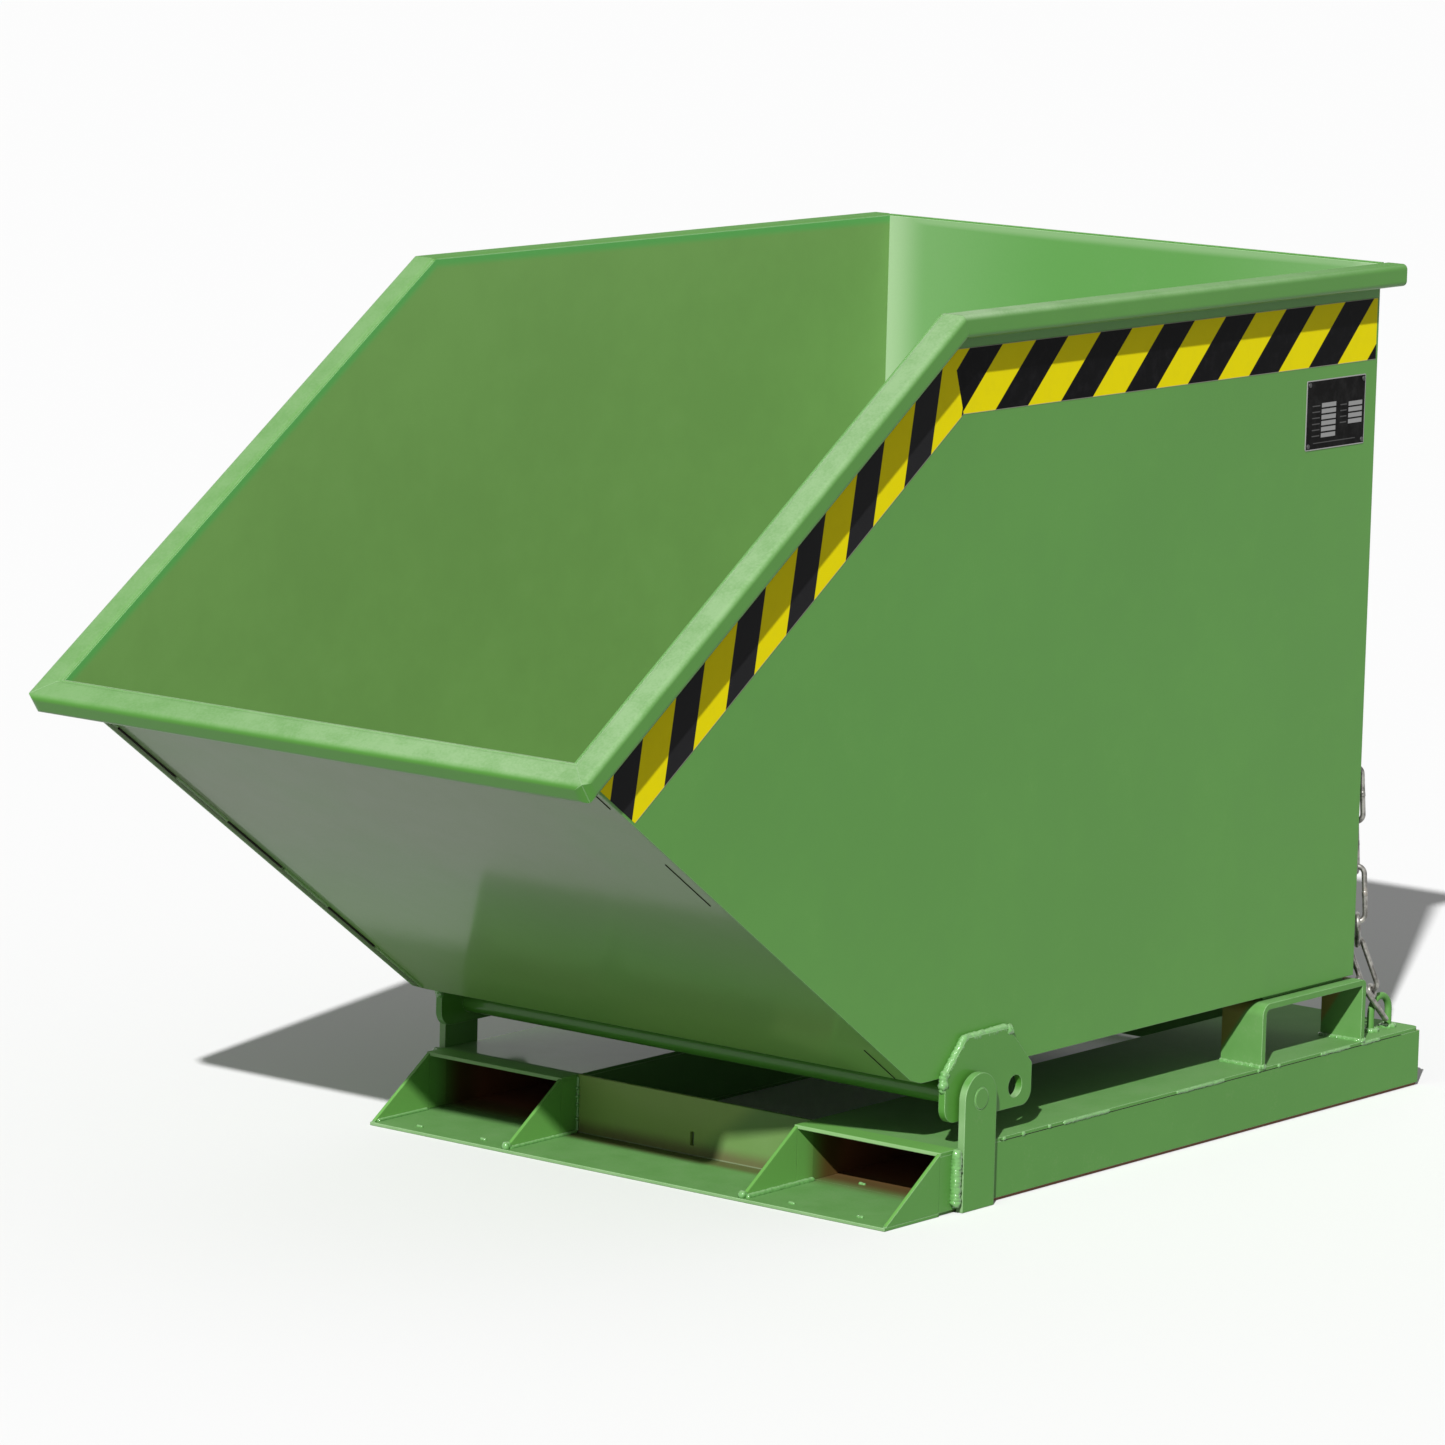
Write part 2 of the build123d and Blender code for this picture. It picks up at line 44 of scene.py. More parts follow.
# one output socket of a shader node, so that shader maths reads as sums
class Shade:
    def __init__(self, tree, socket=None):
        self.tree = tree
        self.socket = socket

    def node(self, kind, settings=None, feeds=None, out=0):
        made = self.tree.nodes.new("ShaderNode" + kind)
        for name, value in (settings or {}).items():
            setattr(made, name, value)
        for name, value in (feeds or {}).items():
            if isinstance(value, Shade):
                self.tree.links.new(value.socket, made.inputs[name])
            else:
                made.inputs[name].default_value = value
        return Shade(self.tree, made.outputs[out]) if made.outputs else None

    def maths(self, operation, first, second=0.0):
        return self.node("Math", {"operation": operation}, {0: first, 1: second})

    def __add__(self, other):
        return self.maths("ADD", self, other)

    def __radd__(self, other):
        return self.maths("ADD", other, self)

    def __sub__(self, other):
        return self.maths("SUBTRACT", self, other)

    def __rsub__(self, other):
        return self.maths("SUBTRACT", other, self)

    def __mul__(self, other):
        return self.maths("MULTIPLY", self, other)

    def __rmul__(self, other):
        return self.maths("MULTIPLY", other, self)

    def __truediv__(self, other):
        return self.maths("DIVIDE", self, other)

    def __gt__(self, other):
        return self.maths("GREATER_THAN", self, other)

    def __lt__(self, other):
        return self.maths("LESS_THAN", self, other)

    def __abs__(self):
        return self.maths("ABSOLUTE", self)

    def fraction(self):
        return self.maths("FRACT", self)

    def most(self, other):
        return self.maths("MAXIMUM", self, other)

    def least(self, other):
        return self.maths("MINIMUM", self, other)


def newMaterial(name):
    material = bpy.data.materials.new(name)
    material.use_nodes = True
    material.node_tree.nodes.clear()
    return material, Shade(material.node_tree)


def mixed(shade, amount, low, high):
    return shade.node("Mix", {"data_type": "RGBA"}, {0: amount, 6: low, 7: high}, out=2)


def noise(shade, place, scale, detail=2.0, roughness=0.5):
    feeds = {"Vector": place, "Scale": scale, "Detail": detail, "Roughness": roughness}
    return shade.node("TexNoise", feeds=feeds)


def ranged(shade, value, low, high, toLow=0.0, toHigh=1.0):
    feeds = {"Value": value, "From Min": low, "From Max": high, "To Min": toLow, "To Max": toHigh}
    return shade.node("MapRange", {"interpolation_type": "SMOOTHSTEP"}, feeds)


def bumped(shade, height, distance, normal=None):
    feeds = {"Strength": 1.0, "Distance": distance, "Height": height}
    if normal is not None:
        feeds["Normal"] = normal
    return shade.node("Bump", feeds=feeds)


def tint(colour, factor):
    return tuple(value * factor for value in colour[:3]) + (1.0,)


def axes(shade, place):
    return [shade.node("SeparateXYZ", feeds={"Vector": place}, out=k) for k in range(3)]


# how much a spot lies on an edge: the rounded normal turns away from the flat one
def edgeMask(shade, radius, samples=4, turned=(0.995, 0.90)):
    rounded = shade.node("Bevel", {"samples": samples}, {"Radius": radius})
    flat = shade.node("NewGeometry", out=1)
    agree = shade.node("VectorMath", {"operation": "DOT_PRODUCT"}, {0: rounded, 1: flat}, out=1)
    return rounded, ranged(shade, agree, *turned)


def facesUp(shade, low=0.45, high=0.95):
    return ranged(shade, axes(shade, shade.node("TexCoord", out=1))[2], low, high)


# 1 on faces that look at a point, 0 on those that look away from it
def facesPoint(shade, place, point):
    towards = shade.node("VectorMath", {"operation": "SUBTRACT"}, {0: point, 1: place})
    outwards = shade.node("TexCoord", out=1)
    return shade.node("VectorMath", {"operation": "DOT_PRODUCT"}, {0: towards, 1: outwards}, out=1) > 0.0


def finished(shade, colour, roughness, normal, settings):
    feeds = {"Base Color": colour, "Roughness": roughness, "Normal": normal, **settings}
    surface = shade.node("BsdfPrincipled", feeds=feeds)
    shade.node("OutputMaterial", feeds={"Surface": surface})


paintLook = {
    "base": (0.080, 0.232, 0.046, 1.0),
    # the side panels' own paler copy of the tub paint: painted light, set for how the sun falls on them
    "side": (0.077, 0.236, 0.039, 1.0),
    "tub": (0.057, 0.205, 0.023, 1.0),
    # the welds' paint is paler than the base's: painted highlight of the glossy beads
    "weld": (0.120, 0.305, 0.084, 1.0),
    "mottle": 0.03,           # share by which the coat's thickness tints the colour
    "mottleFrom": (0.36, 0.64),
    "broadPart": 0.65,
    "broadScale": 2.3,
    "patchScale": 17.0,
    "speckScale": 260.0,
    "sheenFilm": (0.47, 0.59, 0.40, 1.0),         # pale film on what faces up: dry overspray, and painted sky sheen
    "sheenCover": (0.30, 0.62, 0.55, 1.0),
    "sheenPatches": 0.6,
    "dullFrom": 0.75,         # how far up a face looks before the film takes its gloss
    "dullCoat": 0.95,
    "edgeWearAndHighlight": (0.42, 0.66, 0.36, 1.0),     # paler over an edge: paint drawn thin, and a painted highlight
    "edgeShare": 0.55,
    "edgeRadius": 1.9 * mm,
    "dust": (0.24, 0.30, 0.18, 1.0),
    "dustShare": 0.06,
    "dustFrom": (0.55, 0.72),
    "peelSize": 3.0 * mm,
    "peelDepth": 0.008 * mm,
    "waveSize": 0.30,
    "waveDepth": 0.35 * mm,
    "roughness": 0.42,
    "rougher": (0.10, 0.06, 0.5, 0.25),      # by patches, specks, dust and dry film
    "specular": 0.25,
    "coat": 0.37,
    "coatRoughness": 0.10,
    "knee": (-0.24487, 1.382),               # y and z of the bend in the tub's upper edge
    "climb": 34.859,          # degrees that the upper edge climbs in front of the bend
    "mitre": 0.314,           # lean of the joint of level and sloping rail
    "mitreWide": 4 * mm,
    "mitreFoot": 1.34,
}

# places are in metres, and a pair says where a tone begins and where it is full
tubLook = {
    "insideBounceTone": (0.160, 0.322, 0.086, 1.0),    # the tub's inner faces are paler and yellower: painted bounce light
    "insideMottle": (0.97, 1.04),
    "insideOf": (0.0, 0.30, 0.85),           # a point in the middle of the tub
    "innerCoat": 0.11,
    "sideInner": 0.497,       # X of the side panels' inner faces
    "between": 0.4965,        # the same, a little within
    # the rear panel's inside has its own darker copy: painted shade, set for the stronger sun on it
    "insideRearShaded": (0.100, 0.275, 0.068, 1.0),
    "rearFrom": 0.90,
    "cornerReach": 0.085,     # how far the painted highlight spreads from the rear corners, and its faint tail
    "cornerShare": 0.40,
    "tailReach": 0.42,
    "tailShare": 0.15,
    "tailBreak": 0.06,
    "insideTop": (0.100, 0.360, 0.088, 1.0), # a narrow greener band just below the rim
    "topBand": (0.018, 0.005),
    "topRearShare": 0.28,
    "greyDustAndReflection": (0.135, 0.130, 0.095, 1.0),   # grey on the upper part of the chute's underside: dust and a painted floor reflection
    "greyRise": (0.30, 0.62),
    "greyPatches": (0.30, 0.60, 0.6, 1.0),
    "greyShare": 0.55,
    "lowOlive": (0.24, 0.33, 0.12, 1.0),      # an olive tone on its lower part
    "lowFall": (0.62, 0.36),
    "lowBreak": 0.2,
    "lowShare": 0.32,
    "strip": (0.33, 0.40, 0.28, 1.0),        # the sheets' edges that stand out below the chute
    "stripLean": 0.7059,
    "stripHeight": 0.0392,
    "stripFrom": -0.26,
    "stripHalf": 0.4968,
    "stripShare": 0.7,
}


# the tub's inside is paler and yellower, painted bounce light, with painted highlights at its rear corners;
# dust and a painted floor reflection lie on the chute's underside
def tubTones(shade, place, grain, body, coat, look):
    x, y, z = axes(shade, place)
    (kneeY, kneeZ), climb = look["knee"], radians(look["climb"])
    within = facesPoint(shade, place, look["insideOf"])
    between = abs(x) < look["between"]
    # paler, yellower inner faces: painted bounce light
    tone = mixed(shade, grain["amount"], *[tint(look["insideBounceTone"], factor) for factor in look["insideMottle"]])
    rear = (y > look["rearFrom"]) * between
    tone = mixed(shade, rear, tone, look["insideRearShaded"])
    fromSide = look["sideInner"] - abs(x)
    corner = ranged(shade, fromSide, look["cornerReach"], 0.0) * look["cornerShare"]
    broken = fromSide + grain["speck"] * look["tailBreak"]
    tail = ranged(shade, broken, look["tailReach"], 0.0) * look["tailShare"]
    below = (kneeZ - z).least((y - kneeY) * sin(climb) - (z - kneeZ) * cos(climb))
    band = ranged(shade, below, *look["topBand"])
    tone = mixed(shade, band * (1.0 - rear), tone, look["insideTop"])
    # painted highlight beside the rear inner corners, and along the rear below the rim
    cornerHighlight = ((corner + tail) * rear).most(band * rear * look["topRearShare"])
    tone = mixed(shade, cornerHighlight, tone, look["sheenFilm"])
    body = mixed(shade, within, body, tone)
    coat = coat - within * (coat - look["innerCoat"])
    under = (1.0 - within) * (y < 0.0) * between
    # grey on the chute's underside, rising upwards: dust and a painted floor reflection
    dustAndReflection = ranged(shade, z, *look["greyRise"]) * ranged(shade, grain["broad"], *look["greyPatches"])
    body = mixed(shade, under * dustAndReflection * look["greyShare"], body, look["greyDustAndReflection"])
    low = ranged(shade, z + grain["broad"] * look["lowBreak"], *look["lowFall"])
    body = mixed(shade, under * low * look["lowShare"], body, look["lowOlive"])
    strip = z + y * look["stripLean"] < look["stripHeight"]
    strip = strip * (y < look["stripFrom"]) * (abs(x) > look["stripHalf"])
    body = mixed(shade, strip * within * look["stripShare"], body, look["strip"])
    return body, coat


rimLook = {
    "across": (-0.50, 0.45),  # from the far side to the near one
    "slopeFar": 0.62,         # share of the film on the sloping rails, and what the near side has more
    "slopeNear": 0.46,
    "levelFar": 0.15,
    "levelRear": (0.95, 0.55, 0.0, 0.55),
    "levelKnee": (0.20, -0.25, 0.0, 0.70),
    "foot": 0.70,             # what hangs lower isn't the rim
}


# the pale film on the rim, dry overspray and painted sky sheen, thins out on the far side and towards the
# rear
def rimShare(shade, place, look):
    x, y, z = axes(shade, place)
    near = ranged(shade, x, *look["across"])
    sloping = look["slopeFar"] + near * look["slopeNear"]
    alongLevel = ranged(shade, y, *look["levelRear"]) + ranged(shade, y, *look["levelKnee"])
    level = look["levelFar"] + near * alongLevel
    share = sloping + (y > look["knee"][0]) * (level - sloping)
    return share + (z < look["foot"]) * (1.0 - share)


baseLook = {
    "coat": 0.06,
    "specular": 0.18,
    "joint": -0.2085,         # the flush joint of gusset and wall, which shows no edge
    "jointWide": 3 * mm,
    "jointHigh": (0.007, 0.092),
    "front": -0.15,           # what stands in front of this is the web, the mouths or the toe plate
    "plateTop": 0.0072,       # just above the toe plate
    "gusset": (0.120, 0.310, 0.066, 1.0),    # the cheeks of the pocket mouths are paler inside: painted bounce light
    "mouth": -0.168,
    "mouthSides": (0.2345, 0.5165),
    "pocketPrimerAndShade": (0.200, 0.058, 0.026, 1.0),    # red primer deep in the fork pockets, whose red-brown also paints their deep shade
    "mouthPrimerAndShadow": (0.085, 0.036, 0.010, 1.0),   # darker and browner just inside their mouths: painted shadow
    "mouthShadowTurn": (-0.120, -0.070),
    "deepFrom": (-0.195, -0.125),
    "deepSides": (0.2375, 0.5155),
    "deepTop": 0.0932,
    "deepShare": 0.92,
    "web": (0.105, 0.205, 0.045, 1.0),       # the front web is a little browner, and paler with dust and painted fill light on the far two thirds and along its top, where its shade falls
    "webDustAndFill": (0.210, 0.315, 0.074, 1.0),   # on the far two thirds and along its top
    "webTurn": (0.030, -0.030),
    "webLean": 1.2,
    "rustAndShadow": (0.080, 0.031, 0.012, 1.0),      # rust along the foot of the front web, which also paints the shadow strip there
    "rustAndShadowFrom": (-0.212, -0.186),
    "rustAndShadowFall": (0.034, 0.010),
    "rustAndShadowBreak": (0.40, 0.5),
    "sheltered": 0.33,        # coat of the far pocket's top plate below the tub
    "shelteredSide": -0.23,
    "shelteredFrom": -0.16,
    "shelteredHigh": (0.0985, 0.0995),
    "frontSheen": 0.26,        # pale film on what faces forward, dry film and a painted sunlit paleness, and the share of it behind the mouths
    "frontFacing": (-0.70, -0.95),
    "rearSheen": 0.25,
    "primerAndShade": (0.264, 0.095, 0.027, 1.0),      # primer shows through where the saddle was hard to reach, laid where the tub's shadow falls on it: painted shade as well
    "primerAndShadeShare": 0.55,
    "shadowHigh": 0.210,
    "shadowLean": 0.65,
    "shadowTurn": (0.500, 0.490),
    "shadowFrom": (0.40, 0.60, 0.100),
}


# primer, rust, dust and dry film on the base, with painted bounce light, fill light, shade, shadow and sunlit
# paleness
def baseTones(shade, place, patchy, body, coat, look):
    x, y, z = axes(shade, place)
    low, high = look["mouthSides"]
    inFront, abovePlate, webWide = y < look["front"], z > look["plateTop"], abs(x) < low
    # paler cheeks in the pocket mouths: painted bounce light
    bounceLitCheek = (abs(x) > low) * (abs(x) < high) * (y < look["mouth"]) * abovePlate
    body = mixed(shade, bounceLitCheek, body, look["gusset"])
    low, high = look["deepSides"]
    # red-brown deep in the pockets, darker just inside the mouths: primer, painted shade and painted shadow
    deep = (abs(x) > low) * (abs(x) < high) * (z < look["deepTop"]) * ranged(shade, y, *look["deepFrom"])
    pocketPrimerAndShade = mixed(shade, ranged(shade, y, *look["mouthShadowTurn"]), look["mouthPrimerAndShadow"], look["pocketPrimerAndShade"])
    body = mixed(shade, deep * look["deepShare"], body, pocketPrimerAndShade)
    # the web turns paler where its shade falls: dust and painted fill light
    dustAndFill = ranged(shade, x - z * look["webLean"], *look["webTurn"])
    web = mixed(shade, dustAndFill, look["web"], look["webDustAndFill"])
    body = mixed(shade, webWide * inFront * abovePlate, body, web)
    low, high = look["shelteredHigh"]
    sheltered = (x < look["shelteredSide"]) * (z > low) * (z < high) * (y > look["shelteredFrom"])
    coat = coat + sheltered * (look["sheltered"] - coat)
    # rust and a painted shadow strip along the web's foot
    foot = ranged(shade, y, *look["rustAndShadowFrom"]) * ranged(shade, z, *look["rustAndShadowFall"])
    least, more = look["rustAndShadowBreak"]
    body = mixed(shade, webWide * inFront * foot * (least + patchy * more), body, look["rustAndShadow"])
    # forward faces are paler: dry film and a painted sunlit paleness
    forward = ranged(shade, axes(shade, shade.node("TexCoord", out=1))[1], *look["frontFacing"])
    besideWeb = (abs(x) > look["mouthSides"][0]).most(z < look["plateTop"])
    forward = forward * (inFront * besideWeb).most(look["rearSheen"])
    body = mixed(shade, forward * (0.5 + patchy) * look["frontSheen"], body, look["sheenFilm"])
    # primer and painted shade where the tub's shadow falls on the saddle
    fromX, fromY, fromZ = look["shadowFrom"]
    primerAndShade = ranged(shade, x + (look["shadowHigh"] - z) * look["shadowLean"], *look["shadowTurn"])
    primerAndShade = primerAndShade * (x > fromX) * (y > fromY) * (z > fromZ)
    body = mixed(shade, primerAndShade * look["primerAndShadeShare"], body, look["primerAndShade"])
    return body, coat


# bare paint in one colour, with a pale film on what faces up that is dry overspray and painted sky sheen;
# part says whose tones lie over it: tub, rim or base
def paint(name, colour, look, part="", wave=1.0, dustAndFill=0.0, sheenFilm=0.0, sheenFrom=0.45):
    material, shade = newMaterial(name)
    place = shade.node("TexCoord", out=3)
    y, z = axes(shade, place)[1:]
    broad = noise(shade, place, look["broadScale"], detail=3.0)
    patchy = noise(shade, place, look["patchScale"], detail=3.0, roughness=0.6)
    speck = noise(shade, place, look["speckScale"])
    rounded, edge = edgeMask(shade, look["edgeRadius"])
    if part == "base":
        low, high = look["jointHigh"]
        edge = edge * (1.0 - (abs(y - look["joint"]) < look["jointWide"]) * (z < high) * (z > low))
    kneeY, kneeZ = look["knee"]
    atMitre = abs(y - kneeY - (kneeZ - z) * look["mitre"]) < look["mitreWide"]
    edge = edge * (1.0 - atMitre * (z > look["mitreFoot"]))
    thickness = broad * look["broadPart"] + patchy * (1 - look["broadPart"])
    amount = ranged(shade, thickness, *look["mottleFrom"])
    body = mixed(shade, amount, tint(colour, 1 - look["mottle"]), tint(colour, 1 + look["mottle"]))
    coat = look["coat"]
    if part == "tub":
        grain = {"amount": amount, "broad": broad, "speck": speck}
        body, coat = tubTones(shade, place, grain, body, coat, look)
    dull = 0.0
    # the pale film on up-facing faces is dry overspray and painted sky sheen
    if sheenFilm:
        broken = patchy * look["sheenPatches"] + speck * (1 - look["sheenPatches"])
        cover = ranged(shade, broken, *look["sheenCover"])
        if part == "rim":
            cover = cover * rimShare(shade, place, look)
        body = mixed(shade, facesUp(shade, sheenFrom) * cover * sheenFilm, body, look["sheenFilm"])
        dull = facesUp(shade, look["dullFrom"], 1.0)
        coat = coat - dull * (coat * look["dullCoat"])
    # edges turn paler: paint drawn thin and a painted highlight
    body = mixed(shade, edge * look["edgeShare"], body, look["edgeWearAndHighlight"])
    grime = ranged(shade, patchy * 0.5 + speck * 0.5, *look["dustFrom"]) * (look["dustShare"] + dustAndFill)
    body = mixed(shade, grime, body, look["dust"])
    if part == "base":
        body, coat = baseTones(shade, place, patchy, body, coat, look)
    rough = look["roughness"]
    for layer, share in zip((patchy, speck, grime, dull), look["rougher"]):
        rough = rough + layer * share
    peel = noise(shade, place, 1 / look["peelSize"], detail=1.5)
    wavy = noise(shade, place, 1 / look["waveSize"], detail=1.0, roughness=0.4)
    normal = bumped(shade, wavy, look["waveDepth"] * wave, rounded)
    normal = bumped(shade, peel, look["peelDepth"], normal)
    finished(shade, body, rough, normal, {"Coat Weight": coat, "Coat Roughness": look["coatRoughness"],
                                          "Specular IOR Level": look["specular"]})
    return material


tapeLook = {
    "yellow": (0.70, 0.60, 0.002, 1.0),
    "rubbed": (0.48, 0.42, 0.03, 1.0),
    "rubbedBlack": (0.022, 0.021, 0.023, 1.0),
    "rim": (0.30, 0.30, 0.24, 1.0),          # the cut edge of the film
    "rimTurn": (1.3 * mm, 0.39 * mm),        # how far from the edge it begins and where it is full
    "rimShare": 0.8,
    "smudgeScale": 40.0,
    "smudgeFrom": (0.45, 0.75),
    "smudgeShare": (0.10, 0.35),             # on yellow and on black
    "smudgeRough": 0.15,
    "wobbleScale": 30.0,
    "wobble": 0.6 * mm,       # how far the bars' edges stray
    "soft": 0.004,
    "puffScale": 22.0,
    "puffDepth": 0.12 * mm,
    "weaveScale": 700.0,
    "weaveDepth": 0.012 * mm,
    "creaseScale": 60.0,
    "creased": 6.0,
    "barsBefore": 50.0,       # whole bars added, so that none is counted below zero
    "roughness": 0.42,
    "specular": 0.03,
}

# pitch: one yellow and one black bar along the tape; low and high: the tape's edges, measured across it;
# loose: where this run laps over the other at the bend and creases
levelRun = {
    "angle": 0.0,
    "pitch": 0.168,
    "blackShare": 0.495,
    "shift": 0.0301,
    "low": 1.227,
    "high": 1.327,
    "black": (0.0022, 0.0022, 0.0026, 1.0),
    "loose": (-0.19, -0.26),
}
slopeRun = {
    "angle": paintLook["climb"],
    "pitch": 0.1677,
    "blackShare": 0.47,
    "shift": 0.1098,
    "low": 1.1120,
    "high": 1.2120,
    # the black is lighter than the level run's: a painted reflection
    "black": (0.013, 0.013, 0.014, 1.0),
    "loose": None,
}


# both runs of tape have bars that lean 45 degrees forward, seen along the tape
def hazardTape(name, run, look):
    material, shade = newMaterial(name)
    place = shade.node("TexCoord", out=3)
    y, z = axes(shade, place)[1:]
    turn = radians(run["angle"])
    along = y * cos(turn) + z * sin(turn)
    across = z * cos(turn) - y * sin(turn)
    wobble = noise(shade, place, look["wobbleScale"]) * look["wobble"]
    bar = ((along - across + wobble + run["shift"]) / run["pitch"] + look["barsBefore"]).fraction()
    half = run["blackShare"] / 2
    dark = ranged(shade, abs(bar - 0.5), half + look["soft"], half - look["soft"])
    smudge = noise(shade, place, look["smudgeScale"], detail=4.0, roughness=0.65)
    smudge = ranged(shade, smudge, *look["smudgeFrom"])
    onYellow, onBlack = look["smudgeShare"]
    yellow = mixed(shade, smudge * onYellow, look["yellow"], look["rubbed"])
    black = mixed(shade, smudge * onBlack, run["black"], look["rubbedBlack"])
    colour = mixed(shade, dark, yellow, black)
    middle, half = (run["low"] + run["high"]) / 2, (run["high"] - run["low"]) / 2
    cut = ranged(shade, abs(across - middle), *[half - inset for inset in look["rimTurn"]])
    colour = mixed(shade, cut * look["rimShare"], colour, look["rim"])
    weave = noise(shade, place, look["weaveScale"], detail=1.0)
    puff = noise(shade, place, look["puffScale"])
    if run["loose"]:
        creased = noise(shade, place, look["creaseScale"], detail=3.0) * ranged(shade, y, *run["loose"])
        puff = puff + creased * look["creased"]
    normal = bumped(shade, puff, look["puffDepth"])
    normal = bumped(shade, weave, look["weaveDepth"], normal)
    rough = look["roughness"] + smudge * look["smudgeRough"]
    finished(shade, colour, rough, normal, {"Specular IOR Level": look["specular"]})
    return material


zincLook = {
    "bright": (0.36, 0.35, 0.32, 1.0),
    "dull": (0.13, 0.125, 0.115, 1.0),
    "rustAndShadow": (0.28, 0.13, 0.05, 1.0),
    "rustScale": 34.0,
    "rustAndShadowFrom": (0.60, 0.74),
    "rustShare": 0.45,
    "edgeRadius": 0.8 * mm,
    "cloudScale": 70.0,
    "cloudFrom": (0.35, 0.7),
    "cloudDepth": 0.05 * mm,
    "pitScale": 900.0,
    "pitDepth": 0.02 * mm,
    "roughness": 0.30,
    "rougher": (0.22, 0.2),   # by clouds and rust
    "metallic": 0.95,
    "rustMetallic": 0.5,
}


def zinc(name, look):
    material, shade = newMaterial(name)
    place = shade.node("TexCoord", out=3)
    cloud = noise(shade, place, look["cloudScale"], detail=4.0, roughness=0.6)
    pits = noise(shade, place, look["pitScale"])
    rounded = edgeMask(shade, look["edgeRadius"])[0]
    body = mixed(shade, ranged(shade, cloud, *look["cloudFrom"]), look["bright"], look["dull"])
    stained = noise(shade, place, look["rustScale"], detail=5.0, roughness=0.7)
    stained = ranged(shade, stained, *look["rustAndShadowFrom"])
    body = mixed(shade, stained * look["rustShare"], body, look["rustAndShadow"])
    normal = bumped(shade, cloud, look["cloudDepth"], rounded)
    normal = bumped(shade, pits, look["pitDepth"], normal)
    byCloud, byRust = look["rougher"]
    rough = look["roughness"] + cloud * byCloud + stained * byRust
    finished(shade, body, rough, normal, {"Metallic": look["metallic"] - stained * look["rustMetallic"]})
    return material


rivetLook = {
    "dark": (0.04, 0.04, 0.04, 1.0),
    "light": (0.09, 0.09, 0.09, 1.0),
    "grainScale": 600.0,
    "depth": 0.02 * mm,
    "roughness": 0.45,
    "rougher": 0.15,
    "metallic": 0.8,
}


def rivetMetal(name, look):
    material, shade = newMaterial(name)
    place = shade.node("TexCoord", out=3)
    grain = noise(shade, place, look["grainScale"])
    body = mixed(shade, grain, look["dark"], look["light"])
    normal = bumped(shade, grain, look["depth"])
    rough = look["roughness"] + grain * look["rougher"]
    finished(shade, body, rough, normal, {"Metallic": look["metallic"]})
    return material


print("materials ready")


def dress(material, *names):
    for name in names:
        for wanted in nodes:
            if wanted == name or (name.endswith("*") and wanted.startswith(name[:-1])):
                nodes[wanted].data.materials.clear()
                nodes[wanted].data.materials.append(material)


sideCoat, rimCoat = 0.12, 0.24
weldLook = {**paintLook, "coat": 1.0, "roughness": 0.26, "edgeShare": 0.0}
wholeBase = {**paintLook, **baseLook}
wholeTub = {**paintLook, **tubLook}
wholeSide = {**wholeTub, "coat": sideCoat}
wholeRim = {**paintLook, **rimLook, "coat": rimCoat}
greenBase = paint("greenBasePaint", paintLook["base"], wholeBase, "base", wave=0.4, dustAndFill=0.10, sheenFilm=0.10)
greenTub = paint("greenTubPaint", paintLook["tub"], wholeTub, "tub")
greenSideLitCopy = paint("greenSideLitPaint", paintLook["side"], wholeSide, "tub")
greenRim = paint("greenRimPaint", paintLook["tub"], wholeRim, "rim", wave=0.15, sheenFilm=0.34, sheenFrom=-0.10)
greenShaft = paint("greenShaftPaint", paintLook["tub"], paintLook, wave=0.1)
greenWeld = paint("greenWeldPaint", paintLook["weld"], weldLook, wave=0.0, sheenFilm=0.25)
tapeLevel = hazardTape("levelTape", levelRun, tapeLook)
tapeSlope = hazardTape("slopeTape", slopeRun, tapeLook)
chainZinc = zinc("chainZinc", zincLook)
rivetBright = rivetMetal("rivetBright", rivetLook)

plateLook = {
    "black": (0.0022, 0.0020, 0.0020, 1.0),
    "rubbedBlack": (0.03, 0.03, 0.03, 1.0),
    "silver": (0.33, 0.33, 0.32, 1.0),
    "grey": (0.27, 0.27, 0.27, 1.0),
    "faint": (0.12, 0.12, 0.12, 1.0),
    "faintShare": 0.6,
    "border": 1.6 * mm,
    "borderMetallic": 0.4,
    "cloudScale": 55.0,
    "cloudFrom": (0.4, 0.75),
    "cloudShare": 0.3,
    "depth": 0.05 * mm,
    "roughness": 0.40,
    "rougher": 0.15,
    "specular": 0.035,
    # rows of blank boxes and, beside them, of worn dashes, in mm up from the plate's lower edge
    "frontRows": (71.0, 61.3, 51.6, 41.9, 32.2, 22.5),
    "rearRows": (67.8, 58.2, 48.6, 39.0),
    # middle along from the plate's front edge, length and height, in mm
    "frontBox": (64, 41, 7),
    "rearBox": (140, 39, 7),
    "frontDash": (28, 22, 1.8),
    "rearDash": (106, 18, 1.8),
    "footRow": 11.0,
    "footDash": (82, 120, 1.4),
}


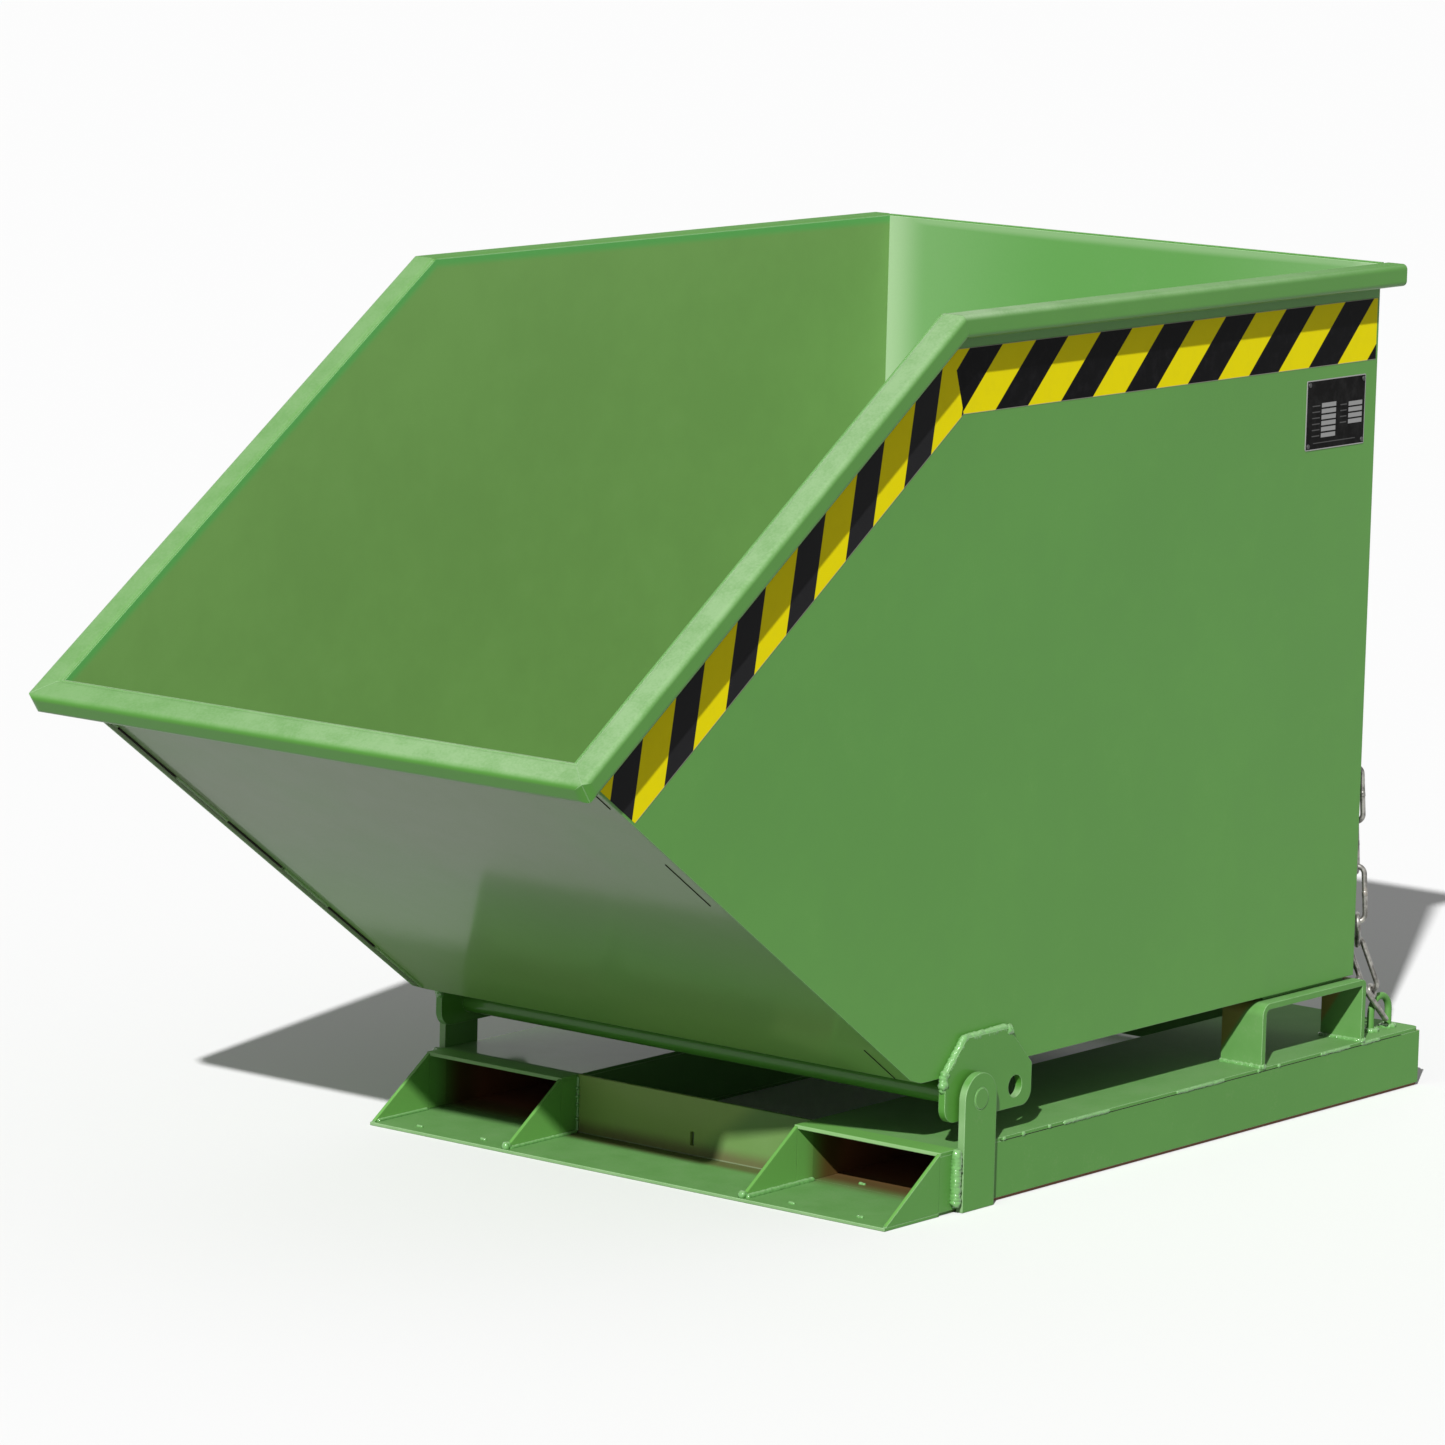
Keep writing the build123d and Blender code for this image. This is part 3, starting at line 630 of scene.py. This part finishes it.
def dataPlate(name, look):
    material, shade = newMaterial(name)
    low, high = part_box("type_plate")
    place = shade.node("TexCoord", out=3)
    y, z = axes(shade, place)[1:]
    halfAlong, halfUp = (high.y - low.y) / 2, (high.z - low.z) / 2
    fromMiddle = [abs(y - (low.y + halfAlong)), abs(z - (low.z + halfUp))]
    inset = (halfAlong - fromMiddle[0]).least(halfUp - fromMiddle[1])
    line = inset < look["border"]

    def boxes(*columns):
        whole = None
        for rows, (along, length, height) in columns:
            for up in rows:
                inLength = abs(y - (low.y + along * mm)) < length * mm / 2
                one = inLength * (abs(z - (low.z + up * mm)) < height * mm / 2)
                whole = one if whole is None else whole.most(one)
        return whole

    blank = boxes((look["frontRows"], look["frontBox"]), (look["rearRows"], look["rearBox"]))
    dash = boxes((look["frontRows"], look["frontDash"]), (look["rearRows"], look["rearDash"]),
                 ([look["footRow"]], look["footDash"]))
    cloud = noise(shade, place, look["cloudScale"], detail=4.0, roughness=0.6)
    rubbed = ranged(shade, cloud, *look["cloudFrom"]) * look["cloudShare"]
    body = mixed(shade, rubbed, look["black"], look["rubbedBlack"])
    body = mixed(shade, dash * look["faintShare"], body, look["faint"])
    body = mixed(shade, blank, body, look["grey"])
    body = mixed(shade, line, body, look["silver"])
    normal = bumped(shade, cloud, look["depth"])
    rough = look["roughness"] + cloud * look["rougher"]
    finished(shade, body, rough, normal, {"Specular IOR Level": look["specular"],
                                          "Metallic": line * look["borderMetallic"]})
    return material


seamLook = {
    "colour": (0.012, 0.010, 0.008, 1.0),
    "tints": (0.7, 1.6),
    "gritScale": 180.0,
    "depth": 0.05 * mm,
    "roughness": 0.75,
    "rougher": 0.1,
    "specular": 0.1,
}


# painted shade: a near-black finish for the shaded gap where two sheets meet and aren't welded
def darkSeam(name, look):
    material, shade = newMaterial(name)
    place = shade.node("TexCoord", out=3)
    grit = noise(shade, place, look["gritScale"])
    body = mixed(shade, grit, *[tint(look["colour"], factor) for factor in look["tints"]])
    normal = bumped(shade, grit, look["depth"])
    rough = look["roughness"] + grit * look["rougher"]
    finished(shade, body, rough, normal, {"Specular IOR Level": look["specular"]})
    return material


seamDark = darkSeam("seamDark", seamLook)
dress(greenBase, "tongue_plate", "pocket_*", "outer_gusset_*", "inner_gusset_*", "front_web", "rear_web",
      "hinge_post_*", "rear_saddle_*", "ring_eye")
dress(greenSideLitCopy, "side_panel_*")
dress(greenTub, "chute_panel", "floor_panel", "rear_panel")
dress(greenRim, "rim_*", "hinge_bracket_*", "hinge_spacer_*", "rest_strip_*", "chain_bow")
dress(greenShaft, "hinge_shaft")
dress(tapeLevel, "hazard_tape_level_*")
dress(tapeSlope, "hazard_tape_slope_*")
dress(chainZinc, "chain_link_*", "chain_toggle")
dress(rivetBright, "type_plate_rivets")
dress(dataPlate("dataPlate", plateLook), "type_plate")
print("frame painted")


beadLook = {
    "segments": 10,
    "rings": 6,
    "overlap": 0.62,          # ripple spacing as a share of the bead's radius
    "squash": 0.85,
    "lumpSize": 5.0 * mm,
    "blobHalf": 0.3,          # half the length of a lone blob, as a share of its radius
}


def onlyThis(piece):
    bpy.ops.object.select_all(action="DESELECT")
    piece.select_set(True)
    bpy.context.view_layer.objects.active = piece


def applied(piece, kind, settings):
    modifier = piece.modifiers.new(kind.lower(), kind)
    for name, value in settings.items():
        setattr(modifier, name, value)
    onlyThis(piece)
    bpy.ops.object.modifier_apply(modifier=modifier.name)


lumps = bpy.data.textures.new("beadLumps", "CLOUDS")
lumps.noise_scale = beadLook["lumpSize"]


# one ripple of weld, repeated from start to end, roughened where it lies; rough is a share of the radius
def bead(start, end, radius, rough=0.16, look=beadLook):
    start, end = Vector(start), Vector(end)
    run = end - start
    step = radius * look["overlap"]
    bpy.ops.object.select_all(action="DESELECT")
    bpy.ops.mesh.primitive_uv_sphere_add(segments=look["segments"], ring_count=look["rings"], radius=radius)
    ripple = bpy.context.object
    ripple.scale = (look["squash"], 1.0, 1.0)
    bpy.ops.object.transform_apply(location=False, rotation=False, scale=True)
    count = max(1, round(run.length / step) + 1)
    if count > 1:
        applied(ripple, "ARRAY", {"count": count, "use_relative_offset": False, "use_constant_offset": True,
                                  "constant_offset_displace": (run.length / (count - 1), 0.0, 0.0)})
    facing = run.to_track_quat("X", "Z") if count > 1 else Vector((1, 0, 0)).to_track_quat("X", "Z")
    ripple.matrix_world = Matrix.Translation(start) @ facing.to_matrix().to_4x4()
    onlyThis(ripple)
    bpy.ops.object.transform_apply(location=True, rotation=True, scale=True)
    applied(ripple, "DISPLACE", {"texture": lumps, "texture_coords": "GLOBAL", "strength": radius * rough * 2,
                                 "mid_level": 0.5})
    bpy.ops.object.shade_smooth()
    return ripple


def joined(name, parts, material, body):
    bpy.ops.object.select_all(action="DESELECT")
    for part in parts:
        part.select_set(True)
    bpy.context.view_layer.objects.active = parts[0]
    if len(parts) > 1:
        bpy.ops.object.join()
    piece = bpy.context.object
    piece.name = name
    piece.data.materials.clear()
    piece.data.materials.append(material)
    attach(piece, body)
    print("made", name, len(piece.data.polygons), "faces")
    return piece


# beads along a string of points at one side's X, each given as (y, z)
def beadRun(x, points, radius, rough=0.16):
    return [bead((x, *a), (x, *b), radius, rough) for a, b in zip(points, points[1:])]


# a short blob of weld
def lump(x, y, z, radius, rough=0.5):
    half = radius * beadLook["blobHalf"]
    return bead((x, y - half, z), (x, y + half, z), radius, rough)


hingeY = -0.1245
tubSide, postSide, pocketInner = 0.500, 0.517, 0.235

bracketWeld = {
    "x": tubSide + 5.5 * mm,
    "radius": 7.0 * mm,
    "rough": 0.35,
    # along the front edge, the chamfer and the top, as (y, z)
    "outline": [(-0.1930, 0.192), (-0.1920, 0.2110), (-0.1425, 0.2650), (-0.0370, 0.2665)],
    "blobs": [(-0.1940, 0.200, 7.5), (-0.1900, 0.216, 6.5), (-0.0300, 0.2630, 8.5)],     # radius in mm
    "blobOut": 1.5 * mm,
    "rearEdge": [(-0.0300, 0.2650), (0.0285, 0.2080)],
    "rearOut": 1.5 * mm,
    "rearRadius": 2.6 * mm,
}


def bracketWelds():
    parts, look = [], bracketWeld
    for s in sides:
        x = s * look["x"]
        parts += beadRun(x, look["outline"], look["radius"], look["rough"])
        parts += beadRun(s * (tubSide + look["rearOut"]), look["rearEdge"], look["rearRadius"])
        parts += [lump(x + s * look["blobOut"], y, z, radius * mm) for y, z, radius in look["blobs"]]
    return joined("bracketWelds", parts, greenWeld, "tub")


postHalf = 0.040
postWeld = {
    "x": postSide + 6.0 * mm,
    "front": hingeY - postHalf - 11.0 * mm,
    "ends": (0.018, 0.089),   # heights
    "radius": 8.8 * mm,
    "rough": 0.35,
    "blobs": (0.017, 0.093),
    "blobBack": 1 * mm,
    "blobRadius": 7.5 * mm,
    "blobRough": 0.6,
    "rearOut": 1.0 * mm,
    "rear": hingeY + postHalf + 1.5 * mm,
    "rearEnds": (0.008, 0.092),
    "rearRadius": 2.8 * mm,
}


# a broad rough bead fills the corner in front of the post, a fine one runs behind it
def postWelds():
    parts, look = [], postWeld
    for s in sides:
        x = s * look["x"]
        parts += beadRun(x, [(look["front"], z) for z in look["ends"]], look["radius"], look["rough"])
        parts += [lump(x, look["front"] + look["blobBack"], z, look["blobRadius"], look["blobRough"])
                  for z in look["blobs"]]
        parts += beadRun(s * (postSide + look["rearOut"]), [(look["rear"], z) for z in look["rearEnds"]],
                         look["rearRadius"])
    return joined("postWelds", parts, greenWeld, "base")


pocketWeld = {
    # stitches and lone spots along the top's outer edge, as (start, end) along Y
    "stitches": [(0.112, 0.230), (0.417, 0.545), (0.825, 0.906), (0.944, 0.993)],
    "stitchRadius": 3.0 * mm,
    "stitchRough": 0.5,
    "spots": [-0.046, 0.004, 0.073, 0.644, 0.702],
    "spotRadius": 3.4 * mm,
    "edgeIn": 0.8 * mm,
    "edgeHeight": 0.0955,
    "seam": (-0.052, 1.060),
    "seamIn": 0.35 * mm,
    "seamHeight": 0.0930,
    "seamRadius": 0.8 * mm,
    "seamRise": (5 * mm, 3 * mm),            # its front end bends forward and up to the edge
    # feet of the gussets and of the inner walls on the toe plate
    "footHeight": 0.0062,
    "footRadius": 3.2 * mm,
    "gussetFoot": (-0.332, -0.216),
    "gussetIn": 7 * mm,
    "innerFoot": (-0.332, -0.172),
    "innerBeads": [(-1.5 * mm, 3.2 * mm), (8.5 * mm, 5.0 * mm)],     # X from the inner wall, and radius
    "innerRough": 0.3,
    "toe": (3 * mm, -0.3370, 0.0095),        # X from the inner wall, y and z
    "toeRadius": 7.0 * mm,
    "toeRough": 0.45,
    # lone spots on the toe plate, as (x, y)
    "dots": [(0.317, -0.316), (0.447, -0.314), (0.315, -0.137), (-0.304, -0.315), (-0.4365, -0.316)],
    "dotHalf": 4 * mm,
    "dotHeight": 0.0055,
    "dotRadius": 3.0 * mm,
    "dotRough": 0.3,
    # the upright corner of web and inner wall
    "webIn": 1.5 * mm,
    "webY": -0.1690,
    "webEnds": (0.010, 0.094),
    "webRadius": 2.56 * mm,
    "webSpots": [0.028, 0.050, 0.064, 0.078],
    "webSpotPlace": (1 * mm, -0.1710),
    "webSpotRadius": 3.2 * mm,
}


def pocketWelds():
    parts, look = [], pocketWeld
    for s in sides:
        x = s * (postSide - look["edgeIn"])
        for stitch in look["stitches"]:
            parts += beadRun(x, [(y, look["edgeHeight"]) for y in stitch], look["stitchRadius"],
                             look["stitchRough"])
        parts += [lump(x, y, look["edgeHeight"], look["spotRadius"]) for y in look["spots"]]
        outer, inner = ([(y, look["footHeight"]) for y in look[foot]] for foot in ("gussetFoot", "innerFoot"))
        parts += beadRun(s * (postSide - look["gussetIn"]), outer, look["footRadius"])
        for aside, radius in look["innerBeads"]:
            parts += beadRun(s * (pocketInner + aside), inner, radius, look["innerRough"])
        aside, y, z = look["toe"]
        parts += [lump(s * (pocketInner + aside), y, z, look["toeRadius"], look["toeRough"])]
        corner = s * (pocketInner - look["webIn"])
        parts += beadRun(corner, [(look["webY"], z) for z in look["webEnds"]], look["webRadius"])
        aside, y = look["webSpotPlace"]
        parts += [lump(corner - s * aside, y, z, look["webSpotRadius"]) for z in look["webSpots"]]
    half, height = look["dotHalf"], look["dotHeight"]
    parts += [bead((x - half, y, height), (x + half, y, height), look["dotRadius"], look["dotRough"])
              for x, y in look["dots"]]
    return joined("pocketWelds", parts, greenWeld, "base")


chuteWeld = {
    "low": (-0.25089, 0.21654),
    "high": (-1.05174, 0.78186),
    "x": 0.4945,
    "radius": 3.3 * mm,
    "rough": 0.35,
    # stretches left open, along Y, on the right and on the left
    "gaps": {1: [(-1.032, -0.995), (-0.868, -0.755), (-0.420, -0.330)],
             -1: [(-0.965, -0.830), (-0.716, -0.582), (-0.480, -0.362)]},
    # open seams, as x, start and end along Y and radius: on the right on the chute, on the left in the corner
    "seams": [
        (0.452, -0.322, -0.243, 1.2 * mm),
        (0.459, -0.819, -0.712, 1.2 * mm),
        (0.471, -0.998, -0.962, 1.2 * mm),
        (-0.4960, -0.960, -0.834, 2.6 * mm),
        (-0.4960, -0.712, -0.587, 2.6 * mm),
        (-0.4960, -0.476, -0.366, 2.6 * mm),
    ],
}


# the point at one X and Y on the line where chute and side panel meet
def onChute(x, y):
    (lowY, lowZ), (highY, highZ) = chuteWeld["low"], chuteWeld["high"]
    return x, y, lowZ + (y - lowY) / (highY - lowY) * (highZ - lowZ)


def chuteWelds():
    parts, look = [], chuteWeld
    for s in sides:
        start = look["high"][0]
        for gapStart, gapEnd in look["gaps"][s] + [(look["low"][0], None)]:
            ends = [onChute(s * look["x"], y) for y in (start, gapStart)]
            parts += [bead(*ends, look["radius"], look["rough"])]
            start = gapEnd
    return joined("chuteWelds", parts, greenTub, "tub")


rimSeal = {
    "x": 0.5022,
    "radius": 3.4 * mm,
    "rough": 0.2,
    "ripples": {**beadLook, "segments": 8, "overlap": 1.3, "squash": 2.1},
    # (y, z) along the groove between side sheet and rail, and in front between chute and rail
    "side": [(0.9320, 1.3789), (-0.2440, 1.3789), (-1.0757, 0.7996)],
    "front": (-1.0777, 0.7989),
    "frontHalf": 0.499,
}


# the smooth bead that closes the groove between the sheets' upper edges and the rails
def rimSeals():
    look = rimSeal
    pairs = list(zip(look["side"], look["side"][1:]))
    runs = [((s * look["x"], *a), (s * look["x"], *b)) for s in sides for a, b in pairs]
    runs += [((-look["frontHalf"], *look["front"]), (look["frontHalf"], *look["front"]))]
    parts = [bead(start, end, look["radius"], look["rough"], look["ripples"]) for start, end in runs]
    return joined("rimSeals", parts, greenRim, "tub")


rodShape = {
    "corners": 8,
    "rounding": 0.4,          # as a share of the radius
    "steps": 2,
}


# a long thin rod with its ends rounded off, for the shaded gap between two sheets
def seamRod(start, end, radius, look=rodShape):
    start, end = Vector(start), Vector(end)
    bpy.ops.object.select_all(action="DESELECT")
    length = (end - start).length
    bpy.ops.mesh.primitive_cylinder_add(vertices=look["corners"], radius=radius, depth=length)
    rod = bpy.context.object
    applied(rod, "BEVEL", {"width": radius * look["rounding"], "segments": look["steps"],
                           "limit_method": "ANGLE"})
    facing = (end - start).to_track_quat("Z", "Y")
    rod.matrix_world = Matrix.Translation((start + end) / 2) @ facing.to_matrix().to_4x4()
    onlyThis(rod)
    bpy.ops.object.transform_apply(location=True, rotation=True, scale=True)
    return rod


def chuteSeams():
    parts = [seamRod(onChute(x, low), onChute(x, high), radius)
             for x, low, high, radius in chuteWeld["seams"]]
    return joined("chuteSeams", parts, seamDark, "tub")


def pocketSeams():
    parts, look = [], pocketWeld
    low, high = look["seam"]
    forward, rise = look["seamRise"]
    height, radius = look["seamHeight"], look["seamRadius"]
    for s in sides:
        x = s * (postSide - look["seamIn"])
        parts += [seamRod((x, low, height), (x, high, height), radius)]
        parts += [seamRod((x, low - forward, height + rise), (x, low, height), radius)]
    return joined("pocketSeams", parts, seamDark, "base")


footWeld = {
    "radius": 4.4 * mm,
    "rough": 0.5,
    "height": 0.100,
    "ends": (2 * mm, -3 * mm),               # X from the saddle's two sides
    "outward": 1 * mm,        # Y from the saddle's two ends to the beads outside and inside each leg
    "inward": 11 * mm,
    "legMiddle": 5 * mm,
    "blobIn": 1 * mm,
    "blobRadius": 4.5 * mm,
    "ringRadius": 9.5 * mm,
    "ringBead": 5.4 * mm,
    "ringRod": 6 * mm,        # half the ring's rod
    "ringParts": 8,
}


# round the feet of the saddles and of the ring
def footWelds():
    parts, look = [], footWeld
    height = look["height"]
    low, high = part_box("rear_saddle_right")
    start, end = low.x + look["ends"][0], high.x + look["ends"][1]
    outward, inward = look["outward"], look["inward"]
    for s in sides:
        for y in (low.y - outward, low.y + inward, high.y - inward, high.y + outward):
            parts += [bead((s * start, y, height), (s * end, y, height), look["radius"], look["rough"])]
        for y in (low.y + look["legMiddle"], high.y - look["legMiddle"]):
            parts += [lump(s * (high.x - look["blobIn"]), y, height, look["blobRadius"])]
    low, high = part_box("ring_eye")
    middle, radius = (low.x + high.x) / 2, look["ringRadius"]
    angles = [radians(k * 360 / look["ringParts"]) for k in range(look["ringParts"] + 1)]
    for y in (low.y + look["ringRod"], high.y - look["ringRod"]):
        corners = [(middle + radius * cos(turn), y + radius * sin(turn), height) for turn in angles]
        parts += [bead(a, b, look["ringBead"], look["rough"]) for a, b in zip(corners, corners[1:])]
    return joined("footWelds", parts, greenWeld, "base")


linkWeld = {
    "radius": 5.1 * mm,       # a little over half the wire
    "rough": 0.10,
    "length": 5.0 * mm,
    "aside": 13.0 * mm,       # from the link's middle line to the middle of its wire
    # each link's two ends, the way its flat side looks, and the body that it hangs on
    "links": [
        ((0.456, 0.9525, 0.7998), (0.46267, 0.9525, 0.70804), (0, 1, 0), "chain_upper"),
        ((0.462, 0.9525, 0.71732), (0.46867, 0.9525, 0.62556), (1, 0, 0.07), "chain_upper"),
        ((0.468, 0.9525, 0.63484), (0.47467, 0.9525, 0.54308), (-0.24, 0.97, -0.02), "chain_lower"),
        ((0.474, 0.9525, 0.55235), (0.48067, 0.9525, 0.4606), (0.9, 0.44, 0.07), "chain_lower"),
        ((0.480, 0.9525, 0.46987), (0.48667, 0.9525, 0.37811), (-0.44, 0.9, -0.03), "chain_lower"),
        ((0.486, 0.9525, 0.38739), (0.49267, 0.9525, 0.29563), (0.79, 0.62, 0.06), "chain_lower"),
        ((0.49727, 0.94618, 0.30068), (0.45469, 1.01087, 0.25102), (0.37, -0.4, -0.84), "chain_lower"),
        ((0.45469, 1.00157, 0.25543), (0.48302, 1.01834, 0.16953), (-0.93, -0.16, -0.34), "chain_lower"),
    ],
}


# the butt weld in the middle of one leg of every link
def linkWelds(body):
    parts = []
    for top, bottom, wide, hangs in linkWeld["links"]:
        if hangs != body:
            continue
        top, bottom, wide = Vector(top), Vector(bottom), Vector(wide).normalized()
        along = (bottom - top).normalized()
        middle = (top + bottom) / 2 + wide * linkWeld["aside"]
        reach = along * linkWeld["length"] / 2
        parts += [bead(middle - reach, middle + reach, linkWeld["radius"], linkWeld["rough"])]
    return joined(body.replace("_", "") + "Welds", parts, chainZinc, body)


for build in (bracketWelds, postWelds, pocketWelds, chuteWelds, rimSeals, chuteSeams, pocketSeams, footWelds):
    build()
for body in ("chain_upper", "chain_lower"):
    linkWelds(body)
print("welds made")


stageLook = {
    "floor": (0.80, 0.80, 0.80, 1.0),
    "floorBounce": (0.38, 0.38, 0.38, 1.0),  # what the floor throws back onto the skip
    "floorSize": 160.0,
    "floorDrop": 0.5 * mm,
    "floorRoughness": 0.9,
    "sky": 0.28,
    "sun": 5.0,
    "sunAngle": 1.0,
    "towardsSun": (0.384, -0.709, 0.591),
}


# 1 for what the camera sees, straight or by way of a gloss, and 0 for light that was scattered
def seenRays(shade):
    camera, glossy, transmitted = (shade.node("LightPath", out=k) for k in (0, 3, 6))
    return camera.most(glossy).most(transmitted)


def setStage(look):
    bpy.ops.object.select_all(action="DESELECT")
    bpy.ops.mesh.primitive_plane_add(size=look["floorSize"], location=(0, 0, -look["floorDrop"]))
    floor = bpy.context.object
    floor.name = "floor"
    material, shade = newMaterial("paleFloor")
    body = mixed(shade, seenRays(shade), look["floorBounce"], look["floor"])
    feeds = {"Base Color": body, "Roughness": look["floorRoughness"], "Specular IOR Level": 0.0}
    surface = shade.node("BsdfPrincipled", feeds=feeds)
    shade.node("OutputMaterial", feeds={"Surface": surface})
    floor.data.materials.append(material)


def setLight(look):
    world = bpy.data.worlds.new("studio")
    bpy.context.scene.world = world
    world.use_nodes = True
    world.node_tree.nodes.clear()
    shade = Shade(world.node_tree)
    strength = ranged(shade, seenRays(shade), 0.0, 1.0, look["sky"], 1.0)
    surface = shade.node("Background", feeds={"Color": (1.0, 1.0, 1.0, 1.0), "Strength": strength})
    shade.node("OutputWorld", feeds={"Surface": surface})
    bpy.ops.object.light_add(type="SUN")
    sun = bpy.context.object
    sun.name = "sun"
    sun.data.energy = look["sun"]
    sun.data.angle = radians(look["sunAngle"])
    sun.rotation_euler = Vector(look["towardsSun"]).to_track_quat("Z", "Y").to_euler()


# the camera stands where the photograph was taken from
cameraPlace = {
    "sensor": 36.0,
    "lens": 179.43,
    "yaw": 38.46523,
    "pitch": 9.46503,
    "roll": 1.42232,
    "distance": 11.3795,
    "aside": -1.10 * mm,
    "up": 676.28 * mm,
    "along": -87.9 * mm,
    "clip": (0.5, 200.0),
}


def setCamera(place):
    yaw, pitch, roll = (radians(place[name]) for name in ("yaw", "pitch", "roll"))
    back = Vector((sin(yaw) * cos(pitch), -cos(yaw) * cos(pitch), sin(pitch)))
    level = Vector((cos(yaw), sin(yaw), 0.0))
    upright = level.cross(-back)
    right = level * cos(roll) + upright * sin(roll)
    up = upright * cos(roll) - level * sin(roll)
    spot = back * place["distance"] + right * place["aside"] + up * place["up"]
    spot += Vector((0, place["along"], 0))
    bpy.ops.object.camera_add()
    camera = bpy.context.object
    camera.name = "photoCamera"
    camera.data.sensor_width = place["sensor"]
    camera.data.lens = place["lens"]
    camera.data.clip_start, camera.data.clip_end = place["clip"]
    camera.matrix_world = Matrix.Translation(spot) @ Matrix((right, up, back)).transposed().to_4x4()
    bpy.context.scene.camera = camera


setStage(stageLook)
setLight(stageLook)
setCamera(cameraPlace)
bpy.context.scene.view_settings.view_transform = "Standard"
print("floor, light and camera set")
